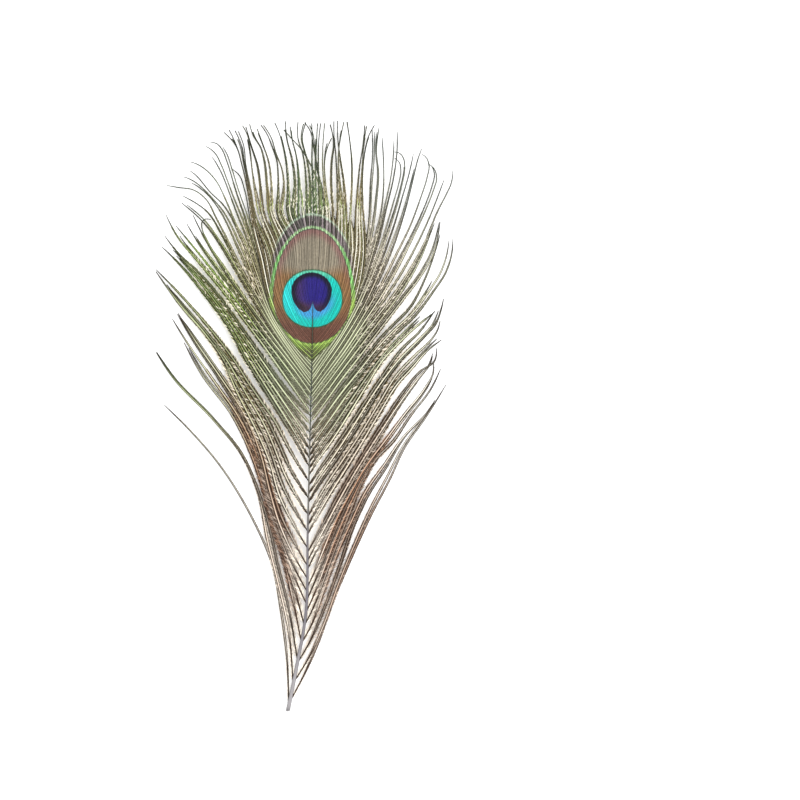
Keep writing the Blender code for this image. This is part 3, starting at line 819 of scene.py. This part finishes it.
def eye_finish(name, tints, kind):
    """The rings of the eye, the crescent over it and the crest. kind is web, shaft or barbule."""
    finish = Finish(name, {"Roughness": 0.4, "Metallic": 0.3})
    x, y = finish.place()
    along, across, tone, moss = map(finish.read, ("along", "across", "tone", "moss"))
    patch = finish.noise(260, (1, 0.35, 1), 3.0)
    fine = finish.noise(1700, (1, 0.5, 1), 2.0)
    ragged = (tone - 0.5) * 0.5 + (fine - 0.5) * 0.7
    aside = abs(across - 0.5) * 2.0
    # The vane around and above the eye: dark lines between green, yellow and cream ones. On the shafts the
    # lime and cream lines are painted highlights and the dark flanks are painted shade.
    green = moss * 1.3 - 0.35 + (patch - 0.5) * 0.6 + y.step(70.0, 40.0) * 0.5
    vane = finish.mix(tints.bronze, tints.leaf, green)
    if kind == "shaft":
        # Painted highlight: lime and cream lines along the crest shafts, by tone.
        glint = (tone * 0.8 + fine * 0.5) * y.step(112.0, 92.0)
        vane = finish.mix(vane, tints.lime, glint.step(0.4, 0.6) * 0.45)
        vane = finish.mix(vane, tints.cream, glint.step(0.55, 0.9) * y.step(38.0, 46.0) * 0.85)
        vane = finish.mix(vane, CREST_SOOT, y.step(98.0, 120.0) * 0.8)
        # Painted shade on the shafts' flanks, and darker tips.
        vane = finish.mix(vane, tints.pine, aside.step(0.4, 0.75).most(along.step(0.8, 0.93) * 0.7))
    elif kind == "barbule":
        vane = finish.mix(vane, tints.cream, tone.step(0.55, 0.85) * 0.8)
        vane = finish.mix(vane, tints.pine, tone.step(0.5, 0.3) * 0.85)
    else:
        speck = finish.noise(2300, (1, 0.6, 1), 2.0)
        vane = finish.mix(vane, tints.cream, speck.step(0.58, 0.68) * 0.8)
        vane = finish.lit(vane, speck.step(0.38, 0.52) * 0.75 + 0.25 + y.step(38.0, 26.0) * 0.6)
    vane = finish.lit(vane, 0.6 + tone * 0.7)
    # The dark crescent, with a thin pale arc over it.
    arc = egg(x, y, EYE_CENTRE, *ARC) + ragged * 0.8
    rim = egg(x, y, EYE_CENTRE, *RIM) + ragged * 0.6
    shade = finish.mix(tints.dusk, tints.pine, (tone + patch * 0.5).step(0.65, 0.35) * 0.7)
    shade = finish.lit(shade, 0.7 + tone * 1.1 + (fine - 0.5) * 0.8)
    colour = finish.mix(vane, shade, arc.step(0.5, -0.6) * y.step(56.0, 82.0) * 0.85)
    pale_arc = arc.band(0.0, 1.0, 0.4) * y.step(74.0, 88.0) * (patch + fine).step(0.7, 1.1)
    colour = finish.mix(colour, FROST, pale_arc * (0.5 + tone * 0.5))
    # The yellow-green patch below the eye.
    below = y.band(31.5, 37.0, 1.5) * abs(x - 3.5).step(12.0, 8.0)
    colour = finish.mix(colour, tints.lime, below * (0.5 + tone * 0.4))
    # The thin green ring, wider at the sides.
    lime = finish.mix(tints.lime, GRASS, y.step(52.0, 66.0) * 0.9)
    lime = finish.mix(lime, tints.mint, y.step(72.0, 86.0))
    wide = 1.4 + abs(x - EYE_CENTRE[0]).step(8.0, 17.0) * 0.5 + (fine - 0.5) * 2.0
    on_rim = rim.step(0.1, 0.35) * (rim - wide).step(0.35, -0.35)
    on_rim = on_rim * (1.0 - (x + y * 0.6).step(32.0, 14.0) * 0.3)
    colour = finish.mix(colour, finish.lit(lime, 0.9 + tone * 0.4), on_rim * (0.7 + fine * 0.5))
    # The brown ring.
    brown = finish.mix(tints.chestnut, tints.copper, y.step(40.0, 56.0))
    brown = finish.mix(brown, tints.taupe, (y - abs(x - 3.2) * 0.3).step(61.0, 69.0))
    brown = finish.mix(brown, tints.mauve, rim.step(-5.0, -0.8) * y.step(56.0, 80.0) * 0.8)
    brown = finish.lit(brown, 0.5 + patch * 0.4 + fine * 0.65)
    colour = finish.mix(colour, SHADE, rim.band(-0.35, 0.15, 0.2) * 0.75)
    colour = finish.mix(colour, brown, rim.step(0.0, -0.4))
    # The blue-green ring, with a thin dark edge.
    ring = egg(x, y, RING_CENTRE, *RING, RING_POWER) + ragged * 0.4
    heart = egg(x, y, HEART_CENTRE, *HEART) + ragged * 0.3
    drop = (NOTCH[1] - y).most(0.0)
    notch = abs(x - NOTCH[0]) - drop * 0.3 - (drop * 0.246) ** 5.0 + (y - NOTCH[1]).most(0.0)
    colour = finish.mix(colour, BOTTLE, ring.step(0.9, 0.1) * 0.9)
    water = finish.mix(tints.turquoise, CYAN, (x + (55.0 - y) * 0.6).step(6.0, -10.0) * 0.8)
    water = finish.mix(water, JADE, y.step(63.0, 68.5) * 0.8)
    in_notch = abs(x - NOTCH[0]).step(2.4, 0.6) * y.band(46.0, 55.0, 2.5)
    near = (heart.step(4.0, 0.4) * y.step(60.0, 50.0)).most(in_notch)
    water = finish.mix(water, tints.sky, near * x.step(-7.0, 0.0))
    colour = finish.mix(colour, finish.lit(water, 0.8 + fine * 0.35), ring.step(0.2, -0.25))
    # The heart, with its lobes rounded off beside the notch.
    deep = finish.mix(tints.violet, tints.plum, x.step(3.0, -4.0) * 0.6 + y.step(55.5, 50.5) * 0.85)
    deep = finish.mix(deep, tints.navy, heart.step(-3.4, -1.1) * y.step(45.0, 56.0) * 0.97)
    corner = ((heart + 1.4).most(0.0) ** 2.0 + (1.4 - notch).most(0.0) ** 2.0) ** 0.5 - 1.4
    inside = corner.step(0.2, -0.2)
    colour = finish.mix(colour, finish.lit(deep, 0.65 + fine * 0.7), inside)
    if kind == "web":
        # Painted shade: each ribbon darker toward its edges, in the grooves between neighbouring barbs, most
        # outside the rim and least inside the blue-green ring.
        painted_groove_shade = 0.6 + rim.step(-0.5, 1.0) * 0.3 - ring.step(0.5, -0.5) * 0.4
        colour = finish.lit(colour, 1.0 - aside.step(0.5, 1.0) * painted_groove_shade)
    return finish.paint(finish.lit(colour, 0.66 + tone * 0.36))


def ground_finish():
    """Matt pale floor, with a faint light of its own that keeps the gaps between barbs bright."""
    finish = Finish("studio_floor", {
        "Roughness": 0.9, "Specular IOR Level": 0.1,
        "Emission Color": (1, 1, 1, 1), "Emission Strength": 0.28})
    return finish.paint(FLOOR)


# ---------------------------------------------------------------- operators


def seat(piece, node, material):
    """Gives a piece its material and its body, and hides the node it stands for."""
    piece.data.materials.clear()
    piece.data.materials.append(material)
    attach(piece, BODY)
    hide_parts(node)


def all_barbs():
    """Every barb of the feather, by group. The same seed gives the same barbs each time."""
    random = np.random.default_rng(BARB_SEED)
    return {
        "left": Barbs(LEFT_LOCKS, -1, False, 1.5, random),
        "right": Barbs(RIGHT_LOCKS, 1, False, 1.5, random),
        "left_crest": Barbs(LEFT_CREST, -1, True, 2.2, random),
        "right_crest": Barbs(RIGHT_CREST, 1, True, 2.2, random),
    }


def deselect_all():
    for each in bpy.context.view_layer.objects:
        each.select_set(False)


class FEATHER_OT_quill(bpy.types.Operator):
    """Make the quill, drawn out ring by ring from its cut end, with its groove underneath and its pith"""

    bl_idname = "feather.quill"
    bl_label = "Quill"

    def execute(self, context):
        tints = context.scene.feather_colours
        stations = smooth_curve(QUILL_LINE, 60)
        deselect_all()
        x, y, height, radius = stations[0]
        bpy.ops.mesh.primitive_circle_add(
            vertices=20, radius=radius * MM, fill_type="NGON", location=(x * MM, y * MM, height * MM),
            rotation=(np.pi / 2, 0, 0))
        quill = context.object
        quill.name = quill.data.name = "quill"
        bpy.ops.object.transform_apply(location=True, rotation=True, scale=True)
        bpy.ops.object.mode_set(mode="EDIT")
        bpy.ops.mesh.select_all(action="SELECT")
        for here, there in zip(stations[:-1], stations[1:]):
            move = (there[:3] - here[:3]) * MM
            bpy.ops.mesh.extrude_region_move(TRANSFORM_OT_translate={"value": tuple(move)})
            factor = there[3] / here[3]
            bpy.ops.transform.resize(value=(factor, 1, factor), center_override=tuple(there[:3] * MM))
        bpy.ops.mesh.select_all(action="SELECT")
        bpy.ops.mesh.normals_make_consistent(inside=False)
        bpy.ops.object.mode_set(mode="OBJECT")
        self.close_ends(quill)
        quill.data.polygons.foreach_set("use_smooth", np.full(len(quill.data.polygons), True))
        seat(quill, "shaft", quill_finish(tints))
        return {"FINISHED"}

    def close_ends(self, quill):
        """Sinks the pith in the cut's rim, presses in the groove and notes how far aside each point is, which
        sets the painted shade on the flanks.
        """
        shape = bmesh.new()
        shape.from_mesh(quill.data)
        cut = min(shape.faces, key=lambda face: face.calc_center_median().y)
        bmesh.ops.inset_region(shape, faces=[cut], thickness=0.22 * MM, depth=0)
        pith = min(shape.faces, key=lambda face: (round(face.calc_center_median().y, 6), -face.calc_area()))
        for vert in pith.verts:
            vert.co.y += 0.25 * MM
        layer = shape.verts.layers.float.new("aside")
        for vert in shape.verts:
            centre_x, centre_z, radius = quill_at(vert.co.y / MM)
            aside = abs(vert.co.x / MM - centre_x) / radius
            vert[layer] = aside
            if vert.co.z / MM < centre_z and aside < 0.45:
                vert.co.z += 0.35 * radius * MM * (1 - aside / 0.45)
        shape.to_mesh(quill.data)
        shape.free()


def make_loose(context, group, node):
    """A side's loose barbs: their shafts and their barbules."""
    sizes, tints = context.scene.feather_sizes, context.scene.feather_colours
    random = np.random.default_rng(LOOSE_SEEDS[group])
    barbs = all_barbs()[group]
    taper = np.interp(barbs.places, [0, 0.06, 0.2, 0.6, 0.9, 1], [0.45, 0.55, 1, 0.85, 0.7, 0.5])
    slim = np.interp(barbs.roots, [-136, -100, -40, 0, 26], [0.85, 1.0, 1.0, 0.75, 0.55])
    half = np.maximum(sizes.loose_shaft / MM / 2 * slim[:, None] * taper, 0.29)
    half = half * np.interp(barbs.places, [0.96, 1], [1, 0.5])
    seat(rami(f"{group}_barbs_shafts", barbs, half), node, shaft_finish(tints))

    def reach(root, share, y):
        grown = np.interp(root, [-136, -120, -95, -40, 0, 26], [0.3, 0.8, 1.2, 1.05, 0.85, 0.75])
        long = sizes.loose_reach / MM * grown
        near = np.interp(root, [-60, -30, -14, 10], [1.0, 0.55, 0.9, 0.95])
        long = long * (1 - 0.45 * ease(share, 0.3, 0.6) * (group == "right" and root > -13))
        return long * np.interp(share, [0, 0.05, 0.3], [near * 0.8, near, 1])

    fringe = barbules(
        f"{group}_barbules", barbs, half, reach, sizes.loose_pitch / MM, sizes.loose_width / MM, 31.0, random)
    seat(fringe, node, loose_finish(tints))


class FEATHER_OT_left_barbs(bpy.types.Operator):
    """Make the loose barbs on the left, with their barbules"""

    bl_idname = "feather.left_barbs"
    bl_label = "Left barbs"

    def execute(self, context):
        make_loose(context, "left", "left_barbs")
        return {"FINISHED"}


class FEATHER_OT_right_barbs(bpy.types.Operator):
    """Make the loose barbs on the right, with their barbules"""

    bl_idname = "feather.right_barbs"
    bl_label = "Right barbs"

    def execute(self, context):
        make_loose(context, "right", "right_barbs")
        return {"FINISHED"}


class FEATHER_OT_eye(bpy.types.Operator):
    """Make the closed web of the eye, one ridged ribbon a barb"""

    bl_idname = "feather.eye"
    bl_label = "Eye"

    def execute(self, context):
        tints = context.scene.feather_colours
        groups = all_barbs()
        for side, group in (("left", "left_crest"), ("right", "right_crest")):
            barbs = groups[group]
            web = self.web(f"eye_web_{side}", barbs)
            seat(web, "eye_barbs", eye_finish(f"eye_web_{side}", tints, "web"))
        return {"FINISHED"}

    def web(self, name, barbs):
        """One ribbon a barb, as wide as the room to its neighbours in the eye, and narrow above it."""
        points = barbs.points
        tangent = unit(np.gradient(points, axis=1))
        room = np.zeros(points.shape[:2])
        for here in range(len(points) - 1):
            gap = np.linalg.norm(np.cross(tangent[here], points[here + 1] - points[here]), axis=1)
            room[here], room[here + 1] = np.maximum(room[here], gap), gap
        top = 92.0 - 0.012 * (points[..., 0] - 3.5) ** 2
        free = np.clip((points[..., 1] - top) / 18.0, 0, 1)
        half = np.clip(room, 0.3, 1.5) * 0.7 * (1 - free) ** 2 + 0.1 * free
        ring = np.zeros((*points.shape[:2], 4, 2))
        ring[..., 0, 0], ring[..., 0, 1] = half, 0.06
        ring[..., 1, 1] = 0.14
        ring[..., 2, 0], ring[..., 2, 1] = -half, -0.06
        ring[..., 3, 1] = -0.05
        return tubes(name, barbs, ring, np.array([0.0, 0.5, 1.0, 0.5]))


class FEATHER_OT_crest(bpy.types.Operator):
    """Make the barb shafts and barbules of the eye and the crest"""

    bl_idname = "feather.crest"
    bl_label = "Crest"

    def execute(self, context):
        sizes, tints = context.scene.feather_sizes, context.scene.feather_colours
        random = np.random.default_rng(CREST_SEED)
        groups = all_barbs()
        for side, group in (("left", "left_crest"), ("right", "right_crest")):
            barbs = groups[group]
            barbs.points = barbs.points + np.array([0, 0, 0.12])
            x, y = barbs.points[..., 0] - EYE_CENTRE[0], barbs.points[..., 1] - EYE_CENTRE[1]
            out = ease(np.hypot(x / RIM[0], y / np.where(y > 0, RIM[1], RIM[2])), 1.03, 1.12)
            taper = np.interp(barbs.places, [0, 0.8, 0.96, 1], [1, 1, 0.85, 0.65])
            half = np.maximum(sizes.eye_shaft / MM / 2 * taper, 0.24) * (0.25 + 0.75 * out)
            seat(rami(f"crest_shafts_{side}", barbs, half), "eye_barbs",
                 eye_finish(f"crest_shafts_{side}", tints, "shaft"))

            def reach(root, share, y):
                long = sizes.eye_reach / MM * np.interp(share, [0, 0.1], [0.4, 1])
                return long * (0.6 + 0.4 * ease(y, 88.0, 100.0))

            fringe = barbules(
                f"crest_barbules_{side}", barbs, half, reach,
                sizes.eye_pitch / MM, sizes.eye_width / MM, 27.0, random)
            seat(fringe, "eye_barbs", eye_finish(f"crest_barbules_{side}", tints, "barbule"))
        return {"FINISHED"}


class FEATHER_OT_stage(bpy.types.Operator):
    """Lay the pale floor and set up the soft light and the camera that looks straight down"""

    bl_idname = "feather.stage"
    bl_label = "Stage"

    def execute(self, context):
        scene = context.scene
        deselect_all()
        bpy.ops.mesh.primitive_plane_add(size=6.0, location=(0, 0, -0.0002))
        floor = context.object
        floor.name = "floor"
        floor.data.materials.append(ground_finish())
        world = bpy.data.worlds.new("studio")
        world.use_nodes = True
        world.node_tree.nodes["Background"].inputs["Color"].default_value = (1, 1, 1, 1)
        world.node_tree.nodes["Background"].inputs["Strength"].default_value = 1.0
        scene.world = world
        key = bpy.data.lights.new("soft_key", "AREA")
        key.shape, key.size, key.energy = "SQUARE", 0.9, 11.0
        lamp = bpy.data.objects.new("soft_key", key)
        lamp.location = (0.55, 0.45, 1.25)
        lamp.rotation_euler = (-lamp.location).to_track_quat("-Z", "Y").to_euler()
        scene.collection.objects.link(lamp)
        lens = bpy.data.cameras.new("camera")
        lens.sensor_width, lens.clip_start, lens.clip_end = 36.0, 0.05, 20.0
        # The camera's height and the width that it shows, with the feather left of the middle.
        away, span = 1.6, 0.3794
        lens.lens = lens.sensor_width * away / span
        camera = bpy.data.objects.new("camera", lens)
        camera.location = (0.04505, 0.00735, away)
        scene.collection.objects.link(camera)
        scene.camera = camera
        scene.view_settings.view_transform = "Standard"
        return {"FINISHED"}


class FEATHER_PT_panel(bpy.types.Panel):
    """Buttons, sizes and colours for the feather"""

    bl_label = "Peacock Feather"
    bl_idname = "FEATHER_PT_panel"
    bl_space_type = "VIEW_3D"
    bl_region_type = "UI"
    bl_category = "Feather"

    def draw(self, context):
        for operator in OPERATORS:
            self.layout.operator(operator.bl_idname)
        for group in (context.scene.feather_sizes, context.scene.feather_colours):
            box = self.layout.box()
            for name in group.__annotations__:
                box.prop(group, name)


OPERATORS = (
    FEATHER_OT_stage,
    FEATHER_OT_quill,
    FEATHER_OT_left_barbs,
    FEATHER_OT_right_barbs,
    FEATHER_OT_eye,
    FEATHER_OT_crest,
)
CLASSES = (FeatherSizes, FeatherColours, *OPERATORS, FEATHER_PT_panel)


def register():
    for each in CLASSES:
        bpy.utils.register_class(each)
    bpy.types.Scene.feather_sizes = bpy.props.PointerProperty(type=FeatherSizes)
    bpy.types.Scene.feather_colours = bpy.props.PointerProperty(type=FeatherColours)


def unregister():
    del bpy.types.Scene.feather_colours
    del bpy.types.Scene.feather_sizes
    for each in reversed(CLASSES):
        bpy.utils.unregister_class(each)


def main():
    register()
    bpy.ops.feather.stage()
    bpy.ops.feather.quill()
    bpy.ops.feather.left_barbs()
    bpy.ops.feather.right_barbs()
    bpy.ops.feather.eye()
    bpy.ops.feather.crest()


if __name__ == "__main__":
    main()
